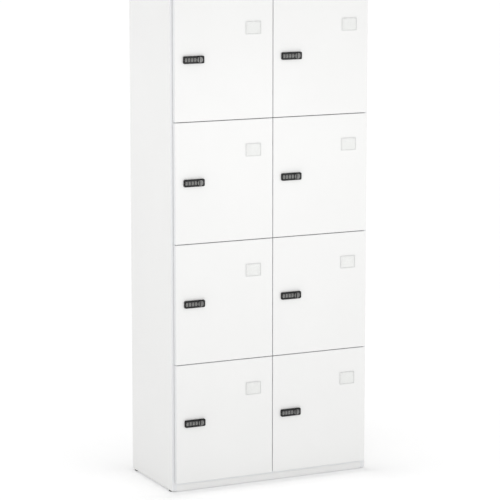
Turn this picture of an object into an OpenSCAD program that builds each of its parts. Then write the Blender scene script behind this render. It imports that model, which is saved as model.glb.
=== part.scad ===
// Parcel locker: two columns of four compartments behind flush white doors.
// Melamine-faced board carcass, concealed hinges and a dial lock on each door.
// Doors are numbered along the rows from the top left. Z = 0 is the floor and
// the doors face -Y. All sizes are in millimetres.

/* [Cabinet] */
// Overall width across both columns
width = 800; // [700:10:1000]
// Overall height from the floor
height = 1816; // [1600:4:2200]
// Thickness of the carcass boards
board = 18; // [16:1:22]
// Depth of the carcass behind the doors
carcass_depth = 368; // [320:4:600]
// Floor to the underside of the bottom panel
base_height = 26; // [24:1:80]
// Thickness of the back panel
back_board = 8; // [6:1:10]
// Depth of the grooves that hold the back panel
groove_depth = 6; // [4:1:8]
// Rear edge of the carcass to the back of the back panel
back_setback = 10; // [8:1:20]

/* [Feet] */
// Height of each plastic glide
glide_height = 5; // [3:1:10]
// Length of each glide
glide_length = 20; // [16:1:30]
// Width of each glide
glide_width = 15; // [12:1:16]
// Gap between the floor and the rails under the cabinet
rail_gap = 2.5; // [1:0.5:10]

/* [Doors] */
// Thickness of the doors
door_board = 18; // [18:1:20]
// Gap between neighbouring doors
door_gap = 3; // [3:0.5:5]
// Gap between the doors and the carcass, held by the bumpers
bumper_gap = 2; // [2:0.5:3]
// Broken corner along each door's front edges
edge_break = 0.8; // [0.4:0.1:1.5]

/* [Hinges] */
// Hinge centre to the top or bottom edge of its door
hinge_end = 90; // [80:5:140]
// Hinge pin centre to the door's edge, and to the door's front
pin_inset = 5.5; // [5:0.1:6]
// Radius of the hinge pin
pin_r = 1.25; // [1:0.05:1.4]
// Diameter of the hinge cup
cup_diameter = 35; // [34:1:36]
// Depth of the hinge cup in the door
cup_depth = 12.5; // [11:0.5:13]

/* [Lock] */
// Width of the lock body
lock_width = 81; // [80:1:92]
// Height of the lock body
lock_height = 27; // [27:1:34]
// How far the lock body stands out of the door
lock_proud = 7; // [6:0.5:9]
// Door's left edge to the lock's centre
lock_inset = 72; // [60:1:110]
// Door's top edge to the lock's centre
lock_drop = 218.5; // [150:0.5:300]
// Spacing of the four dials
dial_pitch = 12; // [11:0.5:13]
// Radius of a dial
dial_r = 11; // [10:0.5:11]
// Radius of the turn knob
knob_r = 10.5; // [9:0.5:11]
// Length of the locking cam from the knob's axis
cam_length = 60; // [50:1:64]

/* [Label holder] */
// Width of the label holder
label_width = 61; // [50:1:80]
// Height of the label holder
label_height = 47; // [30:1:60]
// Door's right edge to the label holder's centre
label_inset = 78; // [60:0.5:110]
// Door's top edge to the label holder's centre
label_drop = 111.5; // [70:0.5:140]
// Thickness of the label holder
label_proud = 2.4; // [2:0.1:4]

/* [Wall fixing] */
// Radius of each wall-fixing hole in the back panel
wall_hole_r = 3.5; // [2.5:0.5:5]

/* [Hidden] */
$fn = 48;
columns = 2;
rows = 4;
doors = columns * rows;

// Grid that the doors, shelves and partition are laid out on
column_pitch = (width - board) / columns;
row_pitch = (height - base_height - board) / rows;
door_w = column_pitch - door_gap;
door_h = row_pitch - door_gap;
overlay = (board - door_gap) / 2;
front_y = door_board + bumper_gap;
back_y = front_y + carcass_depth;
inner_w = width - 2 * board;
inner_back_y = back_y - back_setback - back_board;
shelf_w = (inner_w - board) / columns;
eps = 0.01;

// Knob and grip in front of the lock body
knob_t = 3.6;
knob_play = 0.4;
grip_t = 4;
grip_w = 6;
front_reach = lock_proud + knob_play + knob_t + grip_t;
shift_y = -(back_y - front_reach) / 2;

// Play of the back panel in its grooves
groove_play = 0.5;

// Glides
glide_pin_r = 2.5;
glide_pin_length = 12;
glide_corner = 3;
glide_margin = 15;

// Cam-and-bolt fittings that join the boards
cam_r = 7.5;
cam_sink = 0.3;
cam_h = 12.5;
cam_reach = 34;
bolt_r = 3;
bolt_bite = 8.5;
fitting_slack = 0.1;
fitting_ys = [front_y + 45, inner_back_y - 45];

// Hinges, measured from the door's hinge edge and front
screw_r = 1.75;
screw_hole_r = 1.85;
screw_bite = 12;
screw_head_r = 3.5;
screw_head_h = 1.8;
cup_screw_head_h = 0.55;
seat = 0.05;
hole_extra = 1;
pin_clearance = 0.05;
knuckle_r = pin_inset - 3;
arm_t = 2.5;
arm_h = 10;
arm_slack = 0.3;
arm_tilt = 20;
arm_link = 26.5;
link_start = 1.7;
channel_x = 13.2;
channel_t = 4.5;
channel_front = 29;
channel_back = 86;
channel_h = 16;
plate_line = 37;
plate_front = 28;
plate_length = 30;
plate_h = 18;
wing_t = 2;
wing_w = 14;
wing_h = 50;
plate_screw_z = 16;
adjuster_spacing = 18;
adjuster_rs = [3, 2.5];
cup_centre = 22.5;
cup_r = cup_diameter / 2;
cup_wall = 1.2;
cheek_t = 2;
cheek_h = arm_h / 2 + arm_slack + cheek_t;
cheek_back = 13;
cheek_w = 12.6;
cup_floor_gap = 0.2;
flange_corner = 5;
pocket_w = 13;
pocket_h = cheek_h + arm_slack;
flange_t = 1.2;
flange_r = 19;
flange_screw_x = 32;
flange_screw_z = 24;
flange_w = 13;
flange_h = 60;

// Lock, measured from the centre of its body and the door's front
lock_corner = 5;
dial_count = 4;
dial_w = 7.2;
dial_first = -31.5;
dial_proud = 1.8;
dial_notch = 0.7;
dial_y = dial_r - dial_proud - lock_proud;
dial_gap = 0.4;
axle_r = 2;
axle_clearance = 0.05;
case_wall = 1.2;
case_left = dial_first - dial_w / 2 - dial_gap - case_wall;
case_right = dial_first + (dial_count - 1) * dial_pitch + dial_w / 2 + dial_gap + case_wall;
case_h = 2 * (dial_r + dial_gap + case_wall);
case_depth = dial_y + dial_r + dial_gap + case_wall;
case_slack = 0.3;
knob_x = 22;
barrel_r = 9;
barrel_back = 27;
spindle_r = 4;
spindle_clearance = 0.05;
clamp_t = 1.5;
clamp_extra_h = 4;
nut_corner_r = 13;
nut_t = 5;
square_w = 6;
cam_y = 31;
cam_t = 3;
cam_w = 16;
cam_screw_r = 5;
cam_screw_h = 2.5;

// Keeper that the cam turns behind
keeper_t = 3;
keeper_gap = 0.5;
keeper_overlap = 12;
keeper_h = 28;
keeper_base_h = 36;
keeper_base_depth = 34;
keeper_screw_y = 20;
keeper_screw_z = 11;
keeper_y = cam_y - keeper_gap - keeper_t;

// Label holder
label_rim = 2;
label_recess = 1.2;
label_corner = 2.5;
label_notch_r = 6;

// Positions on the grid
function row_of(i) = floor(i / columns);
function column_of(i) = i % columns;
function grid_z(k) = base_height + board / 2 + k * row_pitch;
function door_x(i) = -width / 2 + board / 2 + door_gap / 2 + column_of(i) * column_pitch;
function door_z(i) = grid_z(rows - 1 - row_of(i)) + door_gap / 2;
function lock_x(i) = door_x(i) + lock_inset;
function lock_z(i) = door_z(i) + door_h - lock_drop;
function hinge_z(i, k) = door_z(i) + (k == 0 ? hinge_end : door_h - hinge_end);
function shelf_x(c) = -inner_w / 2 + c * (shelf_w + board);

DOOR_PIECES = ["door_panel", "lock_housing", "lock_knob", "lock_dials", "label_holder", "hinge_cups"];

// ---- Helpers ----

// Moves the cabinet so that its origin is under the centre of its box
module placed() {
    translate([0, shift_y, 0]) children();
}

// A plate with rounded corners, standing on its back face and facing -Y
module rounded_plate(w, h, r, t) {
    rotate([90, 0, 0]) linear_extrude(t) {
        square([w - 2 * r, h], center = true);
        square([w, h - 2 * r], center = true);
        for (x = [-1, 1], z = [-1, 1]) {
            translate([x * (w / 2 - r), z * (h / 2 - r)]) circle(r);
        }
    }
}

// A straight cylinder along +Y
module bar_y(r, length) {
    rotate([-90, 0, 0]) cylinder(r = r, h = length);
}

// A straight cylinder along +X
module bar_x(r, length) {
    rotate([0, 90, 0]) cylinder(r = r, h = length);
}

// ---- Board joints ----

// One cam and its bolt, at a board's end: +X runs into the board, z = 0 is
// the face that the cam is bored from, and slack turns it into its own hole
module cam_fitting(slack = 0) {
    mouth = slack > 0 ? -1 : cam_sink;
    translate([cam_reach, 0, mouth]) cylinder(r = cam_r + slack, h = cam_h + slack + cam_sink - mouth);
    translate([-bolt_bite - slack, 0, board / 2]) bar_x(bolt_r + slack, cam_reach + bolt_bite);
}

// Fittings between the outer ends of the boards and the side panels
module side_fittings(side, levels, slack = 0) {
    for (k = levels, y = fitting_ys) {
        translate([side * inner_w / 2, y, grid_z(k) - board / 2]) mirror([side > 0 ? 1 : 0, 0, 0]) {
            cam_fitting(slack);
        }
    }
}

// Fittings between the inner ends of the shelves and the partition
module partition_fittings(side, slack = 0) {
    for (k = [1 : rows - 1], y = fitting_ys) {
        translate([side * board / 2, y, grid_z(k) - board / 2]) mirror([side < 0 ? 1 : 0, 0, 0]) {
            cam_fitting(slack);
        }
    }
}

// Fittings between the partition and the top and bottom panels
module post_fittings(slack = 0) {
    for (y = fitting_ys) {
        translate([-board / 2, y, height - board]) rotate([0, 90, 0]) cam_fitting(slack);
        translate([board / 2, y, base_height + board]) rotate([0, -90, 0]) cam_fitting(slack);
    }
}

module cam_fittings() {
    color("silver") placed() {
        for (side = [-1, 1]) {
            side_fittings(side, [0 : rows]);
            partition_fittings(side);
        }
        post_fittings();
    }
}

// ---- Carcass ----

// Groove for the back panel across the whole cabinet at the given reach
module back_slot() {
    slack = 0.1;
    w = inner_w + 2 * groove_depth;
    h = height - base_height - 2 * board + 2 * groove_depth;
    translate([-w / 2, inner_back_y - slack, base_height + board - groove_depth]) {
        cube([w, back_board + 2 * slack, h]);
    }
}

// One screw hole into a board face at x = 0, running along +X
module board_hole() {
    translate([-hole_extra, 0, 0]) bar_x(screw_hole_r, screw_bite + 1.5 * hole_extra);
}

// Screw holes for one column's hinge plates, in the board face at x
module hinge_plate_holes(x, column) {
    for (i = [0 : doors - 1], k = [0, 1], z = [-1, 1]) {
        if (column_of(i) == column) {
            translate([x, front_y + plate_line, hinge_z(i, k) + z * plate_screw_z]) board_hole();
        }
    }
}

// Screw holes for one column's lock keepers, in the board face at x
module keeper_holes(x, column) {
    for (i = [0 : doors - 1], z = [-1, 1]) {
        if (column_of(i) == column) {
            translate([x, keeper_y + keeper_screw_y, lock_z(i) + z * keeper_screw_z]) {
                mirror([1, 0, 0]) board_hole();
            }
        }
    }
}

module glide_pin_holes() {
    glide_positions() {
        cylinder(r = glide_pin_r + fitting_slack, h = glide_height + glide_pin_length + 1);
    }
}

module side_panel(side) {
    difference() {
        translate([side > 0 ? inner_w / 2 : -width / 2, front_y, glide_height]) {
            cube([board, carcass_depth, height - glide_height]);
        }
        back_slot();
        side_fittings(side, [0 : rows], fitting_slack);
        glide_pin_holes();
        if (side < 0) {
            keeper_holes(-inner_w / 2, 0);
        } else {
            hinge_plate_holes(inner_w / 2, 1);
        }
    }
}

module left_side_panel() {
    color("white") placed() side_panel(-1);
}

module right_side_panel() {
    color("white") placed() side_panel(1);
}

// Top or bottom panel, between the side panels
module level_panel(k) {
    difference() {
        translate([-inner_w / 2, front_y, grid_z(k) - board / 2]) cube([inner_w, carcass_depth, board]);
        back_slot();
        for (side = [-1, 1]) side_fittings(side, [k], fitting_slack);
        post_fittings(fitting_slack);
    }
}

module top_panel() {
    color("white") placed() level_panel(rows);
}

module bottom_panel() {
    color("white") placed() level_panel(0);
}

module centre_partition() {
    color("white") placed() difference() {
        translate([-board / 2, front_y, base_height + board]) {
            cube([board, inner_back_y - front_y, height - base_height - 2 * board]);
        }
        for (side = [-1, 1]) partition_fittings(side, fitting_slack);
        post_fittings(fitting_slack);
        hinge_plate_holes(-board / 2, 0);
        keeper_holes(board / 2, 1);
    }
}

// Three fixed shelves in each column
module shelves() {
    color("white") placed() difference() {
        for (k = [1 : rows - 1], c = [0 : columns - 1]) {
            translate([shelf_x(c), front_y, grid_z(k) - board / 2]) {
                cube([shelf_w, inner_back_y - front_y, board]);
            }
        }
        for (side = [-1, 1]) {
            side_fittings(side, [1 : rows - 1], fitting_slack);
            partition_fittings(side, fitting_slack);
        }
    }
}

module back_panel() {
    w = inner_w + 2 * (groove_depth - groove_play);
    h = height - base_height - 2 * board + 2 * (groove_depth - groove_play);
    color("white") placed() difference() {
        translate([-w / 2, inner_back_y, base_height + board - groove_depth + groove_play]) {
            cube([w, back_board, h]);
        }
        for (x = [-1, 1], k = [1, 3]) {
            translate([x * column_pitch / 2, inner_back_y - 1, grid_z(k) + row_pitch / 2]) {
                bar_y(wall_hole_r, back_board + 2);
            }
        }
    }
}

// Front and rear rails under the bottom panel
module plinth_rails() {
    color("white") placed() for (y = [front_y, back_y - board]) {
        translate([-inner_w / 2, y, rail_gap]) cube([inner_w, board, base_height - rail_gap]);
    }
}

// Two glides under each side panel
module glide_positions() {
    reach = glide_margin + glide_length / 2;
    for (x = [-1, 1], y = [front_y + reach, back_y - reach]) {
        translate([x * (width - board) / 2, y, 0]) children();
    }
}

module floor_glides() {
    color("black") placed() glide_positions() {
        translate([0, 0, glide_height]) rotate([90, 0, 0]) {
            rounded_plate(glide_width, glide_length, glide_corner, glide_height);
        }
        cylinder(r = glide_pin_r, h = glide_height + glide_pin_length);
    }
}

// ---- Hinges ----

// Places its children at one hinge: the origin is on the door's hinge edge and front
module at_hinge(i, k) {
    translate([door_x(i) + door_w, 0, hinge_z(i, k)]) children();
}

// Fixed half: knuckle, sloping link, channel and the screwed mounting plate
module hinge_arm() {
    difference() {
        union() {
            translate([-pin_inset, pin_inset, -arm_h / 2]) {
                cylinder(r = knuckle_r, h = arm_h);
                rotate([0, 0, arm_tilt]) translate([-arm_t / 2, link_start, 0]) {
                    cube([arm_t, arm_link - link_start, arm_h]);
                }
            }
            translate([-channel_x - channel_t, channel_front, -channel_h / 2]) {
                cube([channel_t, channel_back - channel_front, channel_h]);
            }
            translate([-channel_x, front_y + plate_front, -plate_h / 2]) {
                cube([channel_x - overlay - wing_t, plate_length, plate_h]);
            }
            translate([-overlay - wing_t, front_y + plate_line - wing_w / 2, -wing_h / 2]) {
                cube([wing_t, wing_w, wing_h]);
            }
        }
        translate([-pin_inset, pin_inset, -arm_h]) cylinder(r = pin_r + pin_clearance, h = 2 * arm_h);
        for (z = [-1, 1]) {
            translate([-overlay - wing_t - 1, front_y + plate_line, z * plate_screw_z]) {
                bar_x(screw_hole_r, wing_t + 2);
            }
        }
        // seats of the two adjusting screws
        for (k = [0, 1]) {
            translate([-channel_x - channel_t - 1, front_y + plate_line + k * adjuster_spacing, 0]) {
                bar_x(adjuster_rs[k], 2);
            }
        }
    }
}

// A pan-head screw that runs along +X through a plate whose near face is x = 0
module board_screw(grip, head_h = screw_head_h) {
    translate([-head_h - seat, 0, 0]) bar_x(screw_head_r, head_h);
    translate([-seat - eps, 0, 0]) bar_x(screw_r, grip + screw_bite);
}

// Sixteen hinge arms and the screws that hold them
module hinge_arms() {
    color("silver") placed() for (i = [0 : doors - 1], k = [0, 1]) at_hinge(i, k) {
        hinge_arm();
        for (z = [-1, 1]) {
            translate([-overlay - wing_t, front_y + plate_line, z * plate_screw_z]) board_screw(wing_t);
        }
    }
}

// Moving half: cup with its flange, two cheeks and the pressed-in pin
module hinge_cup() {
    cup_front = door_board - cup_depth + cup_floor_gap;
    gap_h = 2 * (cheek_h - cheek_t);
    difference() {
        union() {
            translate([-cup_centre, cup_front, 0]) bar_y(cup_r, door_board - cup_front);
            translate([-cup_centre, door_board, 0]) bar_y(flange_r, flange_t);
            translate([-flange_screw_x, door_board + flange_t, 0]) {
                rounded_plate(flange_w, flange_h, flange_corner, flange_t);
            }
        }
        translate([-cup_centre, cup_front + cup_wall, 0]) bar_y(cup_r - cup_wall, cup_depth + flange_t);
        // room for the arm, over its whole swing
        translate([-pin_inset, pin_inset, -gap_h / 2]) {
            cylinder(r = knuckle_r + arm_slack, h = gap_h);
            rotate([0, 0, arm_tilt]) translate([-arm_t / 2 - arm_slack, 0, 0]) {
                cube([2 * cup_r, 2 * cup_r, gap_h]);
            }
        }
        for (z = [-1, 1]) {
            translate([-flange_screw_x, door_board - hole_extra, z * flange_screw_z]) {
                bar_y(screw_hole_r, flange_t + 2 * hole_extra);
            }
        }
    }
    for (z = [-cheek_h, cheek_h - cheek_t]) {
        translate([-cheek_w, pin_inset - knuckle_r, z]) {
            cube([cheek_w - pin_inset, cheek_back - pin_inset + knuckle_r, cheek_t]);
        }
        translate([-pin_inset, pin_inset, z]) cylinder(r = knuckle_r, h = cheek_t);
    }
    translate([-pin_inset, pin_inset, -cheek_h]) cylinder(r = pin_r, h = 2 * cheek_h);
}

module hinge_cups(i) {
    color("silver") placed() for (k = [0, 1]) at_hinge(i, k) {
        hinge_cup();
        for (z = [-1, 1]) {
            translate([-flange_screw_x, door_board + flange_t, z * flange_screw_z]) {
                rotate([0, 0, -90]) board_screw(flange_t, cup_screw_head_h);
            }
        }
    }
}

// Bore, edge pocket and screw holes for one hinge, to be cut from a door
module hinge_cutout() {
    translate([-cup_centre, door_board - cup_depth, 0]) bar_y(cup_r + fitting_slack, cup_depth + 1);
    translate([-pocket_w, pin_inset - knuckle_r - arm_slack, -pocket_h]) {
        cube([pocket_w + 1, door_board, 2 * pocket_h]);
    }
    for (z = [-1, 1]) {
        translate([-flange_screw_x, door_board, z * flange_screw_z]) {
            rotate([0, 0, -90]) board_hole();
        }
    }
}

// ---- Doors ----

module door_panel(i) {
    bevel = edge_break * sqrt(2);
    color("white") placed() difference() {
        translate([door_x(i), 0, door_z(i)]) difference() {
            cube([door_w, door_board, door_h]);
            for (x = [0, door_w]) {
                translate([x, 0, door_h / 2]) rotate([0, 0, 45]) {
                    cube([bevel, bevel, door_h + 2], center = true);
                }
            }
            for (z = [0, door_h]) {
                translate([door_w / 2, 0, z]) rotate([45, 0, 0]) {
                    cube([door_w + 2, bevel, bevel], center = true);
                }
            }
        }
        for (k = [0, 1]) at_hinge(i, k) hinge_cutout();
        translate([lock_x(i), 0, lock_z(i)]) lock_cutout();
    }
}

// ---- Lock ----

module lock_cutout() {
    w = case_right - case_left + 2 * case_slack;
    h = case_h + 2 * case_slack;
    translate([case_left - case_slack, -1, -h / 2]) cube([w, door_board + 2, h]);
    translate([knob_x, -1, 0]) bar_y(barrel_r + case_slack, door_board + 2);
}

// Front body with its dial case, threaded barrel and dial axle
module lock_body() {
    difference() {
        union() {
            rounded_plate(lock_width, lock_height, lock_corner, lock_proud);
            translate([case_left, -eps, -case_h / 2]) {
                cube([case_right - case_left, case_depth + eps, case_h]);
            }
            translate([knob_x, -eps, 0]) bar_y(barrel_r, barrel_back + eps);
        }
        for (d = [0 : dial_count - 1]) {
            translate([dial_first + d * dial_pitch - dial_w / 2 - dial_gap, dial_y, 0]) {
                bar_x(dial_r + dial_gap, dial_w + 2 * dial_gap);
            }
        }
        translate([knob_x, -lock_proud - 1, 0]) {
            bar_y(spindle_r + spindle_clearance, lock_proud + barrel_back + 2);
        }
    }
    translate([case_left + eps, dial_y, 0]) bar_x(axle_r, case_right - case_left - 2 * eps);
}

module lock_housing(i) {
    color("dimgray") placed() translate([lock_x(i), 0, lock_z(i)]) {
        lock_body();
        // clamp plate and nut behind the door
        translate([0, door_board + clamp_t, 0]) difference() {
            rounded_plate(lock_width, lock_height + clamp_extra_h, lock_corner, clamp_t);
            translate([knob_x, -clamp_t - 1, 0]) bar_y(barrel_r + fitting_slack, clamp_t + 2);
        }
        translate([knob_x, door_board + clamp_t + seat, 0]) rotate([-90, 0, 0]) difference() {
            cylinder(r = nut_corner_r, h = nut_t, $fn = 6);
            translate([0, 0, -1]) cylinder(r = barrel_r + fitting_slack, h = nut_t + 2);
        }
    }
}

// Outline of one dial: ten faces with a notch between neighbours
function dial_outline() = [
    for (k = [0 : 9], p = [[0, -dial_notch], [3.5, 0], [11, 0], [18, 0], [25, 0], [32.5, 0]])
        let (a = 36 * k + p[0] - 18, r = dial_r + p[1]) [r * cos(a), r * sin(a)]
];

// Four number dials on one axle, each free to turn
module lock_dials(i) {
    color("lightgray") placed() translate([lock_x(i), dial_y, lock_z(i)]) {
        for (d = [0 : dial_count - 1]) {
            translate([dial_first + d * dial_pitch - dial_w / 2, 0, 0]) rotate([0, 90, 0]) {
                difference() {
                    linear_extrude(dial_w) rotate(90) polygon(dial_outline());
                    translate([0, 0, -1]) cylinder(r = axle_r + axle_clearance, h = dial_w + 2);
                }
            }
        }
    }
}

// Turn knob with its spindle, and the cam and screw on the spindle's square end
module lock_knob(i) {
    back = -lock_proud - knob_play;
    color("gray") placed() translate([lock_x(i) + knob_x, 0, lock_z(i)]) {
        translate([0, back - knob_t, 0]) bar_y(knob_r, knob_t);
        translate([-grip_w / 2, back - knob_t - grip_t, -knob_r + 1]) {
            cube([grip_w, grip_t + eps, 2 * (knob_r - 1)]);
        }
        translate([0, back - eps, 0]) bar_y(spindle_r, barrel_back - back + 2);
        translate([-square_w / 2, barrel_back, -square_w / 2]) {
            cube([square_w, cam_y + cam_t - barrel_back, square_w]);
        }
        difference() {
            union() {
                translate([0, cam_y, 0]) bar_y(cam_w / 2, cam_t);
                translate([-cam_w / 2, cam_y, -cam_length]) cube([cam_w, cam_t, cam_length]);
            }
            translate([-square_w / 2, cam_y - 1, -square_w / 2]) cube([square_w, cam_t + 2, square_w]);
        }
        translate([0, cam_y + cam_t, 0]) bar_y(cam_screw_r, cam_screw_h);
    }
}

// Right-angle keepers on the boards beside the locks, with their screws
module lock_keepers() {
    catch_w = knob_x + lock_inset - cam_length + keeper_overlap - overlay;
    color("silver") placed() for (i = [0 : doors - 1]) {
        translate([door_x(i) + overlay, keeper_y, lock_z(i)]) {
            difference() {
                union() {
                    translate([0, 0, -keeper_h / 2]) cube([catch_w, keeper_t, keeper_h]);
                    translate([0, 0, -keeper_base_h / 2]) {
                        cube([keeper_t, keeper_base_depth, keeper_base_h]);
                    }
                }
                for (z = [-1, 1]) {
                    translate([-1, keeper_screw_y, z * keeper_screw_z]) {
                        bar_x(screw_hole_r, keeper_t + 2);
                    }
                }
            }
            for (z = [-1, 1]) {
                translate([keeper_t, keeper_screw_y, z * keeper_screw_z]) {
                    mirror([1, 0, 0]) board_screw(keeper_t);
                }
            }
        }
    }
}

// ---- Label holder ----

// Shallow frame that a card slides into behind a clear window
module label_holder(i) {
    window_w = label_width - 2 * label_rim;
    window_h = label_height - 2 * label_rim;
    x = door_x(i) + door_w - label_inset;
    z = door_z(i) + door_h - label_drop;
    color("whitesmoke") placed() translate([x, 0, z]) difference() {
        rounded_plate(label_width, label_height, label_corner, label_proud);
        translate([0, label_recess - label_proud, 0]) {
            rounded_plate(window_w, window_h, label_corner / 2, label_recess + 1);
        }
        translate([0, -label_proud - 1, label_height / 2]) bar_y(label_notch_r, label_recess + 1);
    }
}

// ---- Assembly ----

left_side_panel();
right_side_panel();
top_panel();
bottom_panel();
centre_partition();
shelves();
back_panel();
plinth_rails();
floor_glides();
cam_fittings();
hinge_arms();
lock_keepers();
for (i = [0 : doors - 1]) {
    door_panel(i);
    lock_housing(i);
    lock_knob(i);
    lock_dials(i);
    label_holder(i);
    hinge_cups(i);
}
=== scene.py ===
"""Finishes, small fittings, light and camera for a board parcel locker.

Everything is in metres in the cabinet's own frame: Z = 0 is the floor, the
doors face -Y and are numbered along the rows from the top left.
"""

import math

import bmesh
import bpy
from mathutils import Matrix, Vector


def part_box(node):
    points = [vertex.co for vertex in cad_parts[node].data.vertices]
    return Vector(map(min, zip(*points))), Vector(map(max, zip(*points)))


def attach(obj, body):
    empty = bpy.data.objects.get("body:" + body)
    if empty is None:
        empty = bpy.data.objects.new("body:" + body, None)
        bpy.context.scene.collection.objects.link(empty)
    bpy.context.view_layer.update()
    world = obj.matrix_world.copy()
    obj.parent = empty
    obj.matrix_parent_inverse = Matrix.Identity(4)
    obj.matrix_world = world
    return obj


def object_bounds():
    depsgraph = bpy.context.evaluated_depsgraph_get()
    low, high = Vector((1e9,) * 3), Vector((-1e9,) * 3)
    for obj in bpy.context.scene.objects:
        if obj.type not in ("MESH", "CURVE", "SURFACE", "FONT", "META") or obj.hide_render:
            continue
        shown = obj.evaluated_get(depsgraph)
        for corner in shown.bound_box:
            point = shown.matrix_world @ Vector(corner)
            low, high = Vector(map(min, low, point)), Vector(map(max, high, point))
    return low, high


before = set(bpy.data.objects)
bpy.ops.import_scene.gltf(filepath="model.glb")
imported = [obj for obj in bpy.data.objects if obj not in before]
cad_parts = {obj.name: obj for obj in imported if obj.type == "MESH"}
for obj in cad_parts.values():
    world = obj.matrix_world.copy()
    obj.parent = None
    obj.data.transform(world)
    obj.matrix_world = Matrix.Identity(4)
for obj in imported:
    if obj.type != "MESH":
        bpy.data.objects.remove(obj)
cad_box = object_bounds()

MM = 0.001
DOORS = range(1, 9)

# ---- Camera, light and floor -------------------------------------------------

CAMERA_AZIMUTH = math.radians(25.81)   # the camera stands to the left of the doors' normal
CAMERA_DIP = math.radians(9.1)       # and looks down a little
CAMERA_PLACE = Vector((-3.7384, -7.7242, 2.3162))
CAMERA_LENS = 167.4                   # mm, on a 36 mm sensor
CAMERA_SHIFT = -0.05                  # share of the frame, downwards


def set_camera():
    data = bpy.data.cameras.new("camera")
    data.sensor_width = 36.0
    data.lens = CAMERA_LENS
    data.shift_y = CAMERA_SHIFT
    data.clip_end = 200.0
    camera = bpy.data.objects.new("camera", data)
    ahead = Vector((
        math.sin(CAMERA_AZIMUTH) * math.cos(CAMERA_DIP),
        math.cos(CAMERA_AZIMUTH) * math.cos(CAMERA_DIP),
        -math.sin(CAMERA_DIP),
    ))
    camera.location = CAMERA_PLACE
    camera.rotation_euler = ahead.to_track_quat("-Z", "Y").to_euler()
    bpy.context.collection.objects.link(camera)
    bpy.context.scene.camera = camera


# ---- Shader helpers ----------------------------------------------------------


def srgb(hex_colour, alpha=1.0):
    """A colour written as sRGB hex, turned to linear."""
    parts = [int(hex_colour[i:i + 2], 16) / 255.0 for i in (1, 3, 5)]
    linear = [c / 12.92 if c <= 0.04045 else ((c + 0.055) / 1.055) ** 2.4 for c in parts]
    return (*linear, alpha)


def add(tree, kind, inputs=None, **settings):
    """Adds a node, sets its properties, and sets or links its inputs."""
    made = tree.nodes.new(kind)
    for key, value in settings.items():
        setattr(made, key, value)
    for key, value in (inputs or {}).items():
        if isinstance(value, bpy.types.NodeSocket):
            tree.links.new(value, made.inputs[key])
        else:
            made.inputs[key].default_value = value
    return made


def new_material(name, colour, roughness, metallic=0.0, ior=1.5):
    """A Principled material, its tree, its shader and its object coordinates."""
    material = bpy.data.materials.new(name)
    material.use_nodes = True
    tree = material.node_tree
    shader = tree.nodes["Principled BSDF"]
    shader.inputs["Base Color"].default_value = srgb(colour)
    shader.inputs["Roughness"].default_value = roughness
    shader.inputs["Metallic"].default_value = metallic
    if metallic == 0.0:
        shader.inputs["IOR"].default_value = ior
    coords = add(tree, "ShaderNodeTexCoord")
    return material, tree, shader, coords


def grain(tree, coords, size_mm, detail=2.0, stretch=(1.0, 1.0, 1.0)):
    """Noise from 0 to 1 whose blobs are about size_mm across."""
    mapping = add(tree, "ShaderNodeMapping", {
        "Vector": coords.outputs["Object"], "Scale": stretch,
    })
    noise = add(tree, "ShaderNodeTexNoise", {
        "Vector": mapping.outputs["Vector"], "Scale": 1.0 / (size_mm * MM), "Detail": detail,
    })
    return noise.outputs["Fac"]


def blend(tree, factor, first, second):
    """The colour between two others."""
    mix = add(tree, "ShaderNodeMix", {0: factor, 6: first, 7: second}, data_type="RGBA")
    return mix.outputs[2]


def spread(tree, factor, low, high):
    """Runs a factor of 0 to 1 between two values."""
    ranged = add(tree, "ShaderNodeMapRange", {"Value": factor, "To Min": low, "To Max": high})
    return ranged.outputs["Result"]


def vary_colour(tree, shader, factor, dark, light):
    """Runs the base colour between two close tones."""
    tree.links.new(blend(tree, factor, srgb(dark), srgb(light)), shader.inputs["Base Color"])


def vary_roughness(tree, shader, factor, low, high):
    tree.links.new(spread(tree, factor, low, high), shader.inputs["Roughness"])


def relief(tree, shader, height, depth_mm):
    """Bump whose full height is depth_mm."""
    bump = add(tree, "ShaderNodeBump", {
        "Height": height, "Strength": 1.0, "Distance": depth_mm * MM,
    })
    tree.links.new(bump.outputs["Normal"], shader.inputs["Normal"])


# ---- Finishes ----------------------------------------------------------------


def melamine_board(name, edge_axes):
    """White melamine-faced board: a satin paper-and-resin skin with a pearl press
    texture, and ABS edge bands, a little smoother and cooler, on the faces that
    look along edge_axes."""
    material, tree, shader, coords = new_material(name, "#F5F5F4", 0.38, ior=1.52)
    face = blend(tree, grain(tree, coords, 220.0, detail=3.0), srgb("#F3F3F2"), srgb("#F7F7F6"))
    normal = add(tree, "ShaderNodeSeparateXYZ", {"Vector": coords.outputs["Normal"]})
    first, second = (
        add(tree, "ShaderNodeMath", {0: normal.outputs[axis]}, operation="ABSOLUTE").outputs[0]
        for axis in edge_axes
    )
    edge = add(tree, "ShaderNodeMath", {0: first, 1: second}, operation="MAXIMUM").outputs[0]
    band = add(tree, "ShaderNodeMath", {0: edge, 1: 0.8}, operation="GREATER_THAN").outputs[0]
    colour = blend(tree, band, face, srgb("#F1F2F3"))
    tree.links.new(colour, shader.inputs["Base Color"])
    satin = spread(tree, grain(tree, coords, 60.0, detail=4.0), 0.34, 0.44)
    rough = add(tree, "ShaderNodeMix", {0: band, 2: satin, 3: 0.28}, data_type="FLOAT")
    tree.links.new(rough.outputs[0], shader.inputs["Roughness"])
    # the real pearl grain is about 0.4 mm; 1.5 mm is the finest that still shows
    relief(tree, shader, grain(tree, coords, 1.5), 0.012)
    return material


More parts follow.
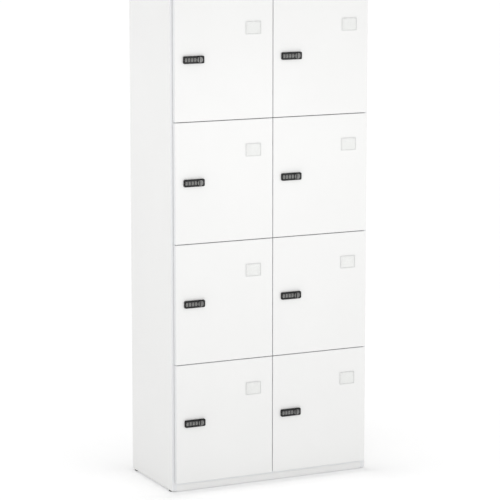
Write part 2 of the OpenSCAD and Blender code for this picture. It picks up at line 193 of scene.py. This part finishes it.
def moulded_black():
    """Black ABS from a spark-eroded mould: a fine even grain, dull with a soft sheen."""
    material, tree, shader, coords = new_material("moulded_black_abs", "#070708", 0.4, ior=1.54)
    shader.inputs["Specular IOR Level"].default_value = 0.25
    vary_colour(tree, shader, grain(tree, coords, 6.0), "#050506", "#0A0A0B")
    vary_roughness(tree, shader, grain(tree, coords, 2.0), 0.36, 0.48)
    relief(tree, shader, grain(tree, coords, 0.4), 0.02)
    return material


def dial_plastic():
    """Light grey acetal of the number dials: smooth, slightly waxy, handled darker in places."""
    material, tree, shader, coords = new_material("acetal_dial", "#8A8A88", 0.32, ior=1.48)
    vary_colour(tree, shader, grain(tree, coords, 3.0, detail=3.0), "#7E7E7C", "#959593")
    vary_roughness(tree, shader, grain(tree, coords, 1.2), 0.26, 0.4)
    relief(tree, shader, grain(tree, coords, 0.5), 0.01)
    return material


def dial_ink():
    """Black pad-printed ink: a thin matt film with small pinholes."""
    material, tree, shader, coords = new_material("pad_print_ink", "#101010", 0.55, ior=1.5)
    vary_colour(tree, shader, grain(tree, coords, 0.3), "#0C0C0C", "#1A1A1A")
    return material


def lock_fascia():
    """Charcoal ABS of the lock's inlaid face plate: a finer grain than the body, half matt."""
    material, tree, shader, coords = new_material("charcoal_abs", "#2F2F30", 0.45, ior=1.54)
    shader.inputs["Specular IOR Level"].default_value = 0.35
    vary_colour(tree, shader, grain(tree, coords, 4.0), "#2A2A2B", "#343435")
    vary_roughness(tree, shader, grain(tree, coords, 1.5), 0.4, 0.52)
    relief(tree, shader, grain(tree, coords, 0.3), 0.01)
    return material


def recess_steel():
    """Painted shade of a screw's cross recess: a thin dark cross of the same plating, laid on the
    head where the shade down in the hole would be.
    """
    material, tree, shader, coords = new_material(
        "recess_shadow_steel", "#3A3936", 0.5, metallic=0.7)
    vary_colour(tree, shader, grain(tree, coords, 0.5), "#2F2E2C", "#464440")
    return material


def mark_ink():
    """White pad-printed ink for the index marks."""
    material, tree, shader, coords = new_material("white_mark_ink", "#E6E6E2", 0.5, ior=1.5)
    vary_colour(tree, shader, grain(tree, coords, 0.3), "#D9D9D5", "#EDEDE9")
    return material


def cast_knob():
    """Zinc die casting with a satin grey chrome finish: a soft metal grey, faintly brushed."""
    material, tree, shader, coords = new_material("satin_zinc", "#7C7C7B", 0.34, metallic=0.85)
    vary_colour(tree, shader, grain(tree, coords, 2.5, detail=4.0), "#727271", "#878786")
    vary_roughness(tree, shader, grain(tree, coords, 0.8, stretch=(1.0, 1.0, 8.0)), 0.28, 0.42)
    relief(tree, shader, grain(tree, coords, 0.5), 0.008)
    return material


def nickel_plate():
    """Pressed steel with bright nickel: warm grey metal, drawn lines along the pressing."""
    material, tree, shader, coords = new_material(
        "nickel_plated_steel", "#C9C5BD", 0.26, metallic=1.0)
    lines = grain(tree, coords, 1.6, detail=3.0, stretch=(1.0, 0.08, 1.0))
    vary_colour(tree, shader, lines, "#BDB9B1", "#D2CFC8")
    vary_roughness(tree, shader, lines, 0.2, 0.34)
    relief(tree, shader, lines, 0.006)
    return material


def zinc_cams():
    """Tumbled zinc die casting of the board fittings: grey, dull, finely pitted."""
    material, tree, shader, coords = new_material("tumbled_zinc", "#A8ABAE", 0.45, metallic=1.0)
    pits = grain(tree, coords, 0.9, detail=4.0)
    vary_colour(tree, shader, pits, "#94979A", "#B5B8BB")
    vary_roughness(tree, shader, pits, 0.38, 0.55)
    relief(tree, shader, pits, 0.03)
    return material


def glide_plastic():
    """Black polyethylene glides: waxy and scuffed where they slide."""
    material, tree, shader, coords = new_material("polyethylene_glide", "#151515", 0.5, ior=1.51)
    scuff = grain(tree, coords, 1.8, detail=5.0, stretch=(1.0, 0.25, 1.0))
    vary_colour(tree, shader, scuff, "#101010", "#242424")
    vary_roughness(tree, shader, scuff, 0.4, 0.62)
    relief(tree, shader, scuff, 0.03)
    return material


def label_plastic():
    """Milky polystyrene label frame: pale grey, partly the plastic's own tone and partly painted
    shade for the dark line round the label, semi-gloss, faint moulding flow.
    """
    material, tree, shader, coords = new_material("milky_polystyrene", "#DEDFDE", 0.3, ior=1.59)
    flow = grain(tree, coords, 9.0, detail=2.0, stretch=(1.0, 1.0, 0.4))
    # painted shade: the frame's grey is deepened so that its thin rim reads as the shade line round
    # the label
    vary_colour(tree, shader, flow, "#DADBDA", "#E2E3E2")
    vary_roughness(tree, shader, flow, 0.26, 0.36)
    relief(tree, shader, grain(tree, coords, 1.0), 0.008)
    return material


def card_paper():
    """Uncoated label card: off-white with short fibres and a matt tooth."""
    material, tree, shader, coords = new_material("label_card", "#F6F6F4", 0.85, ior=1.5)
    fibre = grain(tree, coords, 1.1, detail=6.0, stretch=(1.0, 1.0, 0.35))
    vary_colour(tree, shader, fibre, "#F3F3F1", "#F8F8F6")
    relief(tree, shader, fibre, 0.02)
    return material


def clear_window():
    """Clear acrylic cover: see-through with a polished face and very fine wiping marks."""
    material, tree, shader, coords = new_material("clear_acrylic", "#F4F6F6", 0.06, ior=1.49)
    shader.inputs["Alpha"].default_value = 0.12
    vary_roughness(tree, shader, grain(tree, coords, 4.0, detail=4.0), 0.03, 0.1)
    return material


def bumper_gel():
    """Clear polyurethane bumpers: soft, water-clear domes."""
    material, tree, shader, coords = new_material("polyurethane_bumper", "#F2F3F1", 0.12, ior=1.5)
    shader.inputs["Transmission Weight"].default_value = 0.8
    vary_roughness(tree, shader, grain(tree, coords, 2.0), 0.08, 0.2)
    return material


PAINTED_GLOW = 0.4           # painted light: the floor's own glow, full far from the cabinet
PAINTED_GLOW_REACH = 1.6     # metres from the cabinet's foot to where it is full
PAINTED_GLOW_UNDER = 0.002   # keeps a third of it under the cabinet, where the missing glow paints shade
PAINTED_GLOW_RISE = 0.16     # a low power, so that most of it is there close to the foot


def studio_floor():
    """Pale seamless paper for the floor, with a just visible tooth. Away from the
    cabinet it glows with painted light, and the glow fades towards the cabinet's foot,
    which paints shade round it, so that the floor ends in white while the shadows at the cabinet's
    foot stay."""
    material, tree, shader, coords = new_material("studio_paper", "#FDFDFD", 0.8, ior=1.45)
    vary_colour(tree, shader, grain(tree, coords, 900.0), "#FCFCFC", "#FEFEFE")
    low, high = (Vector(corner) for corner in cad_box)
    foot = (max(-low.x, high.x), max(-low.y, high.y), 0.0)
    spot = coords.outputs["Object"]
    for operation, other in (("ABSOLUTE", None), ("SUBTRACT", foot), ("MAXIMUM", (0, 0, 0))):
        inputs = {0: spot} if other is None else {0: spot, 1: other}
        spot = add(tree, "ShaderNodeVectorMath", inputs, operation=operation).outputs["Vector"]
    away = add(tree, "ShaderNodeVectorMath", {0: spot}, operation="LENGTH")
    # painted shade: the glow falls off towards the cabinet's foot, to a third under it
    share = add(tree, "ShaderNodeMapRange", {
        "Value": away.outputs["Value"], "From Min": -PAINTED_GLOW_UNDER, "From Max": PAINTED_GLOW_REACH,
    })
    rise = add(tree, "ShaderNodeMath", {
        0: share.outputs["Result"], 1: PAINTED_GLOW_RISE,
    }, operation="POWER")
    painted_glow = add(tree, "ShaderNodeMath", {
        0: rise.outputs["Value"], 1: PAINTED_GLOW,
    }, operation="MULTIPLY")
    # painted light: the floor glows white
    shader.inputs["Emission Color"].default_value = srgb("#FFFFFF")
    tree.links.new(painted_glow.outputs["Value"], shader.inputs["Emission Strength"])
    return material


# ---- Mesh helpers ------------------------------------------------------------

WELD = 0.001 * MM    # corners closer than this are one

SMOOTH_ANGLE = math.radians(35)


def finish_piece(name, mesh, material, body):
    """Links a mesh as a piece that rides on a body."""
    piece = bpy.data.objects.new(name, mesh)
    bpy.context.collection.objects.link(piece)
    mesh.materials.clear()
    mesh.materials.append(material)
    for polygon in mesh.polygons:
        polygon.use_smooth = True
    mesh.set_sharp_from_angle(angle=SMOOTH_ANGLE)
    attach(piece, body)


def rounded_outline(width, height, radius, steps=8):
    """Corner arcs of a rounded rectangle, anticlockwise, centred on the origin."""
    points = []
    for sx, sz, start in ((1, -1, -90), (1, 1, 0), (-1, 1, 90), (-1, -1, 180)):
        for k in range(steps + 1):
            a = math.radians(start + 90.0 * k / steps)
            points.append((sx * (width / 2 - radius) + radius * math.cos(a),
                           sz * (height / 2 - radius) + radius * math.sin(a)))
    return points


def circle_outline(radius, steps=40):
    turns = [math.tau * k / steps for k in range(steps)]
    return [(radius * math.cos(a), radius * math.sin(a)) for a in turns]


def cross_outline(reach, half):
    """Outline of a cross recess: four arms of the given reach and half width."""
    quarter = [(reach, -half), (reach, half), (half, half)]
    points = []
    for k in range(4):
        for x, z in quarter:
            points.append(((x, z), (-z, x), (-x, -z), (z, -x))[k])
    return points


def plate_mesh(name, outlines, thickness, bevel, depth_steps=3):
    """A flat plate with holes: the first outline is its rim and the others are holes.
    It lies in XZ with its front at y = 0 and its back at y = thickness."""
    curve = bpy.data.curves.new(name, "CURVE")
    curve.dimensions = "2D"
    curve.fill_mode = "BOTH"
    curve.extrude = thickness / 2 - bevel
    curve.bevel_depth = bevel
    curve.bevel_resolution = depth_steps
    curve.offset = -bevel
    for outline in outlines:
        spline = curve.splines.new("POLY")
        spline.points.add(len(outline) - 1)
        for point, (x, z) in zip(spline.points, outline):
            point.co = (x, z, 0.0, 1.0)
        spline.use_cyclic_u = True
    holder = bpy.data.objects.new(name, curve)
    mesh = bpy.data.meshes.new_from_object(holder)
    bpy.data.objects.remove(holder)
    bpy.data.curves.remove(curve)
    upright = Matrix.Rotation(math.radians(90), 4, "X")
    mesh.transform(Matrix.Translation((0, thickness / 2, 0)) @ upright)
    work = bmesh.new()
    work.from_mesh(mesh)
    bmesh.ops.remove_doubles(work, verts=work.verts, dist=WELD)
    bmesh.ops.recalc_face_normals(work, faces=work.faces)
    work.to_mesh(mesh)
    work.free()
    return mesh


def turned_mesh(name, profile, steps=48):
    """A solid turned about the Y axis from (radius, y) points, closed at both ends."""
    work = bmesh.new()
    rings = []
    for radius, y in profile:
        if radius <= 0:
            rings.append([work.verts.new((0, y, 0))])
            continue
        rings.append([work.verts.new((x, y, z)) for x, z in circle_outline(radius, steps)])
    for a, b in zip(rings, rings[1:]):
        for k in range(steps):
            n = (k + 1) % steps
            if len(a) == 1:
                work.faces.new((a[0], b[n], b[k]))
            elif len(b) == 1:
                work.faces.new((a[k], a[n], b[0]))
            else:
                work.faces.new((a[k], a[n], b[n], b[k]))
    bmesh.ops.recalc_face_normals(work, faces=work.faces)
    mesh = bpy.data.meshes.new(name)
    work.to_mesh(mesh)
    work.free()
    return mesh


def moved(mesh, place):
    mesh.transform(Matrix.Translation(place))
    return mesh


def joined(name, meshes):
    """One mesh made of several."""
    work = bmesh.new()
    for mesh in meshes:
        work.from_mesh(mesh)
        bpy.data.meshes.remove(mesh)
    mesh = bpy.data.meshes.new(name)
    work.to_mesh(mesh)
    work.free()
    return mesh


def middle(low, high):
    return (low + high) / 2


# ---- Number dials ------------------------------------------------------------

DIAL_COUNT = 4
DIAL_WIDTH = 7.2 * MM
DIAL_FACES = 10
FACE_ANGLE = math.tau / DIAL_FACES
DIGIT_HEIGHT = 4.4 * MM
DIGIT_GRID = 0.5 * MM
PRINT_LIFT = 0.04 * MM


def digit_mesh(digit):
    """One printed digit, flat in XZ, centred, fine enough to be wrapped round a dial."""
    curve = bpy.data.curves.new("digit", "FONT")
    curve.body = str(digit)
    curve.align_x = "CENTER"
    curve.resolution_u = 6
    holder = bpy.data.objects.new("digit", curve)
    mesh = bpy.data.meshes.new_from_object(holder)
    bpy.data.objects.remove(holder)
    bpy.data.curves.remove(curve)
    ys = [v.co.y for v in mesh.vertices]
    xs = [v.co.x for v in mesh.vertices]
    scale = DIGIT_HEIGHT / (max(ys) - min(ys))
    for v in mesh.vertices:
        x = v.co.x - middle(min(xs), max(xs))
        z = v.co.y - middle(min(ys), max(ys))
        v.co = (x * scale, 0.0, z * scale)
    work = bmesh.new()
    work.from_mesh(mesh)
    bmesh.ops.remove_doubles(work, verts=work.verts, dist=WELD)
    # slices across the height, so that the print follows the dial's curve
    lines = int(DIGIT_HEIGHT / DIGIT_GRID) + 1
    for k in range(1, lines):
        z = -DIGIT_HEIGHT / 2 + k * DIGIT_GRID
        bmesh.ops.bisect_plane(work, geom=work.verts[:] + work.edges[:] + work.faces[:],
                               plane_co=(0, 0, z), plane_no=(0, 0, 1))
    work.to_mesh(mesh)
    work.free()
    return mesh


def wrapped_digit(digit, angle, x, radius):
    """A copy of a digit on a dial's rim; angle 0 faces the doors' front."""
    mesh = digit.copy()
    for v in mesh.vertices:
        a = angle + v.co.z / radius
        v.co = (x + v.co.x, -radius * math.cos(a), radius * math.sin(a))
    return mesh


def dial_places(n):
    """X of the middle of each dial of lock n."""
    low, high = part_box(f"lock_dials_{n}")
    pitch = (high.x - low.x - DIAL_WIDTH) / (DIAL_COUNT - 1)
    return [low.x + DIAL_WIDTH / 2 + d * pitch for d in range(DIAL_COUNT)]


def print_dials(ink):
    digits = [digit_mesh(digit) for digit in range(DIAL_FACES)]
    for n in DOORS:
        low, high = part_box(f"lock_dials_{n}")
        centre = middle(low, high)
        radius = (high.z - low.z) / 2 + PRINT_LIFT
        prints = []
        for d, x in enumerate(dial_places(n)):
            shown = 3 * n + 4 * d + n * d * d
            for k in range(DIAL_FACES):
                digit = digits[(shown + k) % DIAL_FACES]
                prints.append(wrapped_digit(digit, -k * FACE_ANGLE, x - centre.x, radius))
        mesh = moved(joined(f"dial_print_{n}", prints), centre)
        finish_piece(f"dial_print_{n}", mesh, ink, f"dials_{n}")


# ---- Label cards and windows -------------------------------------------------

LABEL_RIM = 2.0 * MM
LABEL_FLOOR = 1.2 * MM       # the holder's solid back
CARD_THICKNESS = 0.3 * MM
CARD_CORNER = 1.0 * MM
CARD_EDGE = 0.05 * MM
CARD_PLAY = 0.4 * MM
WINDOW_THICKNESS = 0.6 * MM
WINDOW_EDGE = 0.15 * MM
WINDOW_GAP = 0.05 * MM       # between a card and its window


def fill_label_holders(card_material, window_material):
    for n in DOORS:
        low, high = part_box(f"label_holder_{n}")
        x, z = middle(low.x, high.x), middle(low.z, high.z)
        width = high.x - low.x - 2 * (LABEL_RIM + CARD_PLAY)
        height = high.z - low.z - 2 * (LABEL_RIM + CARD_PLAY)
        outline = rounded_outline(width, height, CARD_CORNER)
        y = high.y - LABEL_FLOOR - CARD_THICKNESS
        card = moved(plate_mesh("card", [outline], CARD_THICKNESS, CARD_EDGE, 1), (x, y, z))
        finish_piece(f"label_card_{n}", card, card_material, f"door_{n}")
        y -= WINDOW_THICKNESS + WINDOW_GAP
        pane = moved(plate_mesh("pane", [outline], WINDOW_THICKNESS, WINDOW_EDGE), (x, y, z))
        finish_piece(f"label_window_{n}", pane, window_material, f"door_{n}")


# ---- Soft bumpers on the back of each door's free edge -----------------------

BUMPER_RADIUS = 5.0 * MM
BUMPER_HEIGHT = 1.8 * MM
BUMPER_RIM = 0.25            # share of the height that stands straight
BUMPER_INSET = 6.5 * MM
BUMPER_END = 40.0 * MM
DOME_STEPS = 6


def bumper_profile():
    """A low dome on a short straight rim, as (radius, y) points."""
    points = [(0.0, BUMPER_HEIGHT)]
    for k in range(1, DOME_STEPS + 1):
        a = math.radians(90 * k / DOME_STEPS)
        rise = BUMPER_RIM + (1 - BUMPER_RIM) * math.cos(a)
        points.append((BUMPER_RADIUS * math.sin(a), BUMPER_HEIGHT * rise))
    return [*points, (BUMPER_RADIUS, 0.0), (0.0, 0.0)]


def stick_bumpers(material):
    profile = bumper_profile()
    for n in DOORS:
        low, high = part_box(f"door_panel_{n}")
        domes = [
            moved(turned_mesh("bumper", profile), (low.x + BUMPER_INSET, high.y, z))
            for z in (low.z + BUMPER_END, high.z - BUMPER_END)
        ]
        finish_piece(f"door_bumpers_{n}", joined(f"door_bumpers_{n}", domes), material, f"door_{n}")


# ---- Black shells round the knobs' metal grips, and their printed lines ------

SHELL_WIDTH = 7.6 * MM
SHELL_LENGTH = 20.2 * MM
SHELL_CORNER = 3.0 * MM
SHELL_DEPTH = 3.9 * MM
SHELL_BEVEL = 0.9 * MM
SHELL_SET_BACK = 0.05 * MM   # the metal grip shows in front of its shell
LINE_WIDTH = 1.0 * MM
LINE_LENGTH = 6.0 * MM
LINE_CORNER = 0.45 * MM
LINE_DEPTH = 0.1 * MM
LINE_EDGE = 0.02 * MM
LINE_LIFT = 0.02 * MM
LINE_RISE = 5.5 * MM         # above the knob's centre


def cap_knobs(shell_material, line_material):
    for n in DOORS:
        low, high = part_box(f"lock_knob_{n}")
        x = middle(low.x, high.x)
        z = high.z - (high.x - low.x) / 2
        outline = rounded_outline(SHELL_WIDTH, SHELL_LENGTH, SHELL_CORNER)
        shell = plate_mesh("shell", [outline], SHELL_DEPTH, SHELL_BEVEL, 4)
        moved(shell, (x, low.y + SHELL_SET_BACK, z))
        finish_piece(f"knob_cap_{n}", shell, shell_material, f"knob_{n}")
        outline = rounded_outline(LINE_WIDTH, LINE_LENGTH, LINE_CORNER)
        line = plate_mesh("line", [outline], LINE_DEPTH, LINE_EDGE, 1)
        moved(line, (x, low.y - LINE_LIFT, z + LINE_RISE))
        finish_piece(f"knob_line_{n}", line, line_material, f"knob_{n}")


# ---- Inlaid face plates of the locks, with their windows and index marks -----

LOCK_HEIGHT = 27.0 * MM
LOCK_MARGIN = 4.0 * MM
FASCIA_THICKNESS = 0.3 * MM
FASCIA_CORNER = 2.5 * MM
FASCIA_EDGE = 0.08 * MM
DIAL_WINDOW_SLACK = 0.4 * MM
DIAL_WINDOW_HEIGHT = 13.4 * MM
DIAL_WINDOW_CORNER = 0.6 * MM
SPINDLE_HOLE = 6.0 * MM
MARK_LENGTH = 1.5 * MM
MARK_HEIGHT = 0.5 * MM
MARK_CORNER = 0.1 * MM
MARK_THICKNESS = 0.04 * MM
MARK_EDGE = 0.005 * MM
MARK_BEFORE = 6.0 * MM       # before the middle of the first dial
MARK_CLEAR = 0.4 * MM        # short of half a dial's pitch after the last dial


def shifted(outline, x, z):
    return [(px + x, pz + z) for px, pz in outline]


def face_locks(fascia_material, mark_material):
    window = rounded_outline(
        DIAL_WIDTH + 2 * DIAL_WINDOW_SLACK, DIAL_WINDOW_HEIGHT, DIAL_WINDOW_CORNER, 3)
    bar = rounded_outline(MARK_LENGTH, MARK_HEIGHT, MARK_CORNER, 2)
    for n in DOORS:
        low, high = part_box(f"lock_housing_{n}")
        dial_low, dial_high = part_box(f"lock_dials_{n}")
        knob_low, knob_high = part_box(f"lock_knob_{n}")
        centre = Vector((middle(low.x, high.x), low.y, middle(low.z, high.z)))
        dial_z = middle(dial_low.z, dial_high.z) - centre.z
        dials = [x - centre.x for x in dial_places(n)]
        width, height = high.x - low.x - 2 * LOCK_MARGIN, LOCK_HEIGHT - 2 * LOCK_MARGIN
        outlines = [rounded_outline(width, height, FASCIA_CORNER)]
        outlines += [shifted(window, x, dial_z) for x in dials]
        knob_x = middle(knob_low.x, knob_high.x) - centre.x
        outlines.append(shifted(circle_outline(SPINDLE_HOLE), knob_x, dial_z))
        face = centre - Vector((0, FASCIA_THICKNESS, 0))
        fascia = moved(plate_mesh("fascia", outlines, FASCIA_THICKNESS, FASCIA_EDGE, 2), face)
        finish_piece(f"lock_fascia_{n}", fascia, fascia_material, f"door_{n}")
        after = dials[-1] + (dials[1] - dials[0]) / 2 - MARK_CLEAR
        marks = [
            moved(plate_mesh("mark", [bar], MARK_THICKNESS, MARK_EDGE, 1), (x, 0, dial_z))
            for x in (dials[0] - MARK_BEFORE, after)
        ]
        marks = moved(joined(f"lock_marks_{n}", marks), face - Vector((0, MARK_THICKNESS, 0)))
        finish_piece(f"lock_marks_{n}", marks, mark_material, f"door_{n}")


# ---- Painted shade of the cross recesses in the screw heads, and the hinges' adjusting screws -----

# each place is measured from the door's hinge edge or free edge, from its front,
# and up or down from the hinge or the lock
PLATE_SCREWS = (-11.35 * MM, 57.0 * MM, 16.0 * MM)
CUP_SCREWS = (-32.0 * MM, 19.8 * MM, 24.0 * MM)
KEEPER_SCREWS = (12.35 * MM, 47.5 * MM, 11.0 * MM)
HINGE_END = 90.0 * MM
ADJUSTER_SEAT = -16.7 * MM
ADJUSTERS = ((57.0 * MM, 2.6 * MM), (75.0 * MM, 2.1 * MM))     # y and radius
ADJUSTER_THICKNESS = 0.8 * MM
ADJUSTER_EDGE = 0.2 * MM
ADJUSTER_CROSS = 0.7         # of its radius
SCREW_CROSS = 1.9 * MM
CAM_CROSS = 2.6 * MM
CROSS_WAIST = 0.24           # half the width of an arm, as a share of its reach
RECESS_DEPTH = 0.05 * MM
RECESS_EDGE = 0.008 * MM


def turned_to(mesh, degrees, place):
    """Turns a piece that faces -Y about Z, and moves it to its place."""
    mesh.transform(Matrix.Translation(place) @ Matrix.Rotation(math.radians(degrees), 4, "Z"))
    return mesh


# painted shade: a thin dark cross stands on the head where the recess's shade would be
def cross_mark(reach):
    outline = cross_outline(reach, reach * CROSS_WAIST)
    return plate_mesh("cross", [outline], RECESS_DEPTH, RECESS_EDGE, 1)


def adjuster_mesh(radius):
    profile = [
        (0.0, 0.0), (radius - ADJUSTER_EDGE, 0.0), (radius, ADJUSTER_EDGE),
        (radius, ADJUSTER_THICKNESS), (0.0, ADJUSTER_THICKNESS),
    ]
    return turned_mesh("adjuster", profile, 32)


def detail_hinge(door_low, door_high, hinge_z, carcass_marks, door_marks, adjusters):
    for side in (-1, 1):
        x, y, z = PLATE_SCREWS
        place = (door_high.x + x - RECESS_DEPTH, door_low.y + y, hinge_z + side * z)
        carcass_marks.append(turned_to(cross_mark(SCREW_CROSS), -90, place))
        x, y, z = CUP_SCREWS
        place = (door_high.x + x, door_low.y + y + RECESS_DEPTH, hinge_z + side * z)
        door_marks.append(turned_to(cross_mark(SCREW_CROSS), 180, place))
    for y, radius in ADJUSTERS:
        place = (door_high.x + ADJUSTER_SEAT - ADJUSTER_THICKNESS, door_low.y + y, hinge_z)
        adjusters.append(turned_to(adjuster_mesh(radius), -90, place))
        place = (place[0] - RECESS_DEPTH, place[1], place[2])
        carcass_marks.append(turned_to(cross_mark(radius * ADJUSTER_CROSS), -90, place))


def detail_screws(recess_shade_material, screw_material):
    carcass_marks, adjusters = [], []
    for n in DOORS:
        low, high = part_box(f"door_panel_{n}")
        dial_low, dial_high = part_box(f"lock_dials_{n}")
        lock_z = middle(dial_low.z, dial_high.z)
        door_marks = []
        for hinge_z in (low.z + HINGE_END, high.z - HINGE_END):
            detail_hinge(low, high, hinge_z, carcass_marks, door_marks, adjusters)
        for side in (-1, 1):
            x, y, z = KEEPER_SCREWS
            place = (low.x + x + RECESS_DEPTH, low.y + y, lock_z + side * z)
            carcass_marks.append(turned_to(cross_mark(SCREW_CROSS), 90, place))
        marks = joined(f"cup_recess_shade_{n}", door_marks)
        finish_piece(f"cup_recess_shade_{n}", marks, recess_shade_material, f"door_{n}")
        knob_low, knob_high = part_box(f"lock_knob_{n}")
        place = (middle(knob_low.x, knob_high.x), knob_high.y + RECESS_DEPTH, lock_z)
        mark = turned_to(cross_mark(CAM_CROSS), 180, place)
        finish_piece(f"cam_recess_shade_{n}", mark, recess_shade_material, f"knob_{n}")
    marks = joined("carcass_recess_shade", carcass_marks)
    finish_piece("carcass_recess_shade", marks, recess_shade_material, "cabinet")
    finish_piece("hinge_adjusters", joined("hinge_adjusters", adjusters), screw_material, "cabinet")


# ---- Studio ------------------------------------------------------------------

FLOOR_REACH = 60.0           # metres from the cabinet to the end of the floor
DOME_STRENGTH = 0.64
SOFT_BOXES = (               # name, place, aim, size in metres, watts
    ("front", (0.15, -1.7, 1.2), (0.15, 0, 1.7), (1.6, 0.5), 3.5),
    ("low", (-0.2, -2.2, 1.5), (-0.1, -0.5, 0), (2.4, 0.8), 3.6),
    ("left", (-1.9, 0.1, 1.6), (-0.4, 0.1, 1.6), (0.6, 0.6), 2.9),
)


def lay_floor():
    mesh = bpy.data.meshes.new("studio_floor")
    corners = ((-1, -1), (1, -1), (1, 1), (-1, 1))
    places = [(x * FLOOR_REACH, y * FLOOR_REACH, 0) for x, y in corners]
    mesh.from_pydata(places, [], [(0, 1, 2, 3)])
    floor = bpy.data.objects.new("studio_floor", mesh)
    bpy.context.collection.objects.link(floor)
    mesh.materials.append(studio_floor())


def soft_box(name, place, aim, size, power):
    data = bpy.data.lights.new(name, "AREA")
    data.shape = "RECTANGLE"
    data.size, data.size_y = size
    data.energy = power
    lamp = bpy.data.objects.new(name, data)
    lamp.visible_camera = False
    lamp.location = place
    lamp.rotation_euler = (Vector(aim) - Vector(place)).to_track_quat("-Z", "Y").to_euler()
    bpy.context.collection.objects.link(lamp)


def light_studio():
    world = bpy.data.worlds.new("studio_dome")
    world.use_nodes = True
    background = world.node_tree.nodes["Background"]
    background.inputs["Color"].default_value = srgb("#FFFFFF")
    background.inputs["Strength"].default_value = DOME_STRENGTH
    bpy.context.scene.world = world
    bpy.context.scene.view_settings.view_transform = "Standard"
    for box in SOFT_BOXES:
        soft_box(*box)


# ---- Build -------------------------------------------------------------------


def finish_nodes(black, nickel):
    """Gives every designed node its finish; the nodes keep their own meshes."""
    level_white = melamine_board("melamine_level_board", ("X", "Y"))
    upright_white = melamine_board("melamine_upright", ("Y", "Z"))
    back_white = melamine_board("melamine_back", ("X", "Z"))
    finishes = {
        "left_side_panel": upright_white,
        "right_side_panel": upright_white,
        "centre_partition": upright_white,
        "top_panel": level_white,
        "bottom_panel": level_white,
        "shelves": level_white,
        "back_panel": back_white,
        "plinth_rails": back_white,
        "floor_glides": glide_plastic(),
        "cam_fittings": zinc_cams(),
        "hinge_arms": nickel,
        "lock_keepers": nickel,
    }
    each_door = {
        "door_panel": melamine_board("melamine_door", ("X", "Z")),
        "lock_housing": black,
        "lock_knob": cast_knob(),
        "lock_dials": dial_plastic(),
        "label_holder": label_plastic(),
        "hinge_cups": nickel,
    }
    for n in DOORS:
        finishes.update({f"{name}_{n}": finish for name, finish in each_door.items()})
    for name, finish in finishes.items():
        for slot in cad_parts[name].material_slots:
            slot.material = finish


moulded_abs, nickel_steel, black_ink = moulded_black(), nickel_plate(), dial_ink()

set_camera()
finish_nodes(moulded_abs, nickel_steel)
print_dials(black_ink)
fill_label_holders(card_paper(), clear_window())
stick_bumpers(bumper_gel())
cap_knobs(moulded_abs, black_ink)
face_locks(lock_fascia(), mark_ink())
detail_screws(recess_steel(), nickel_steel)
lay_floor()
light_studio()
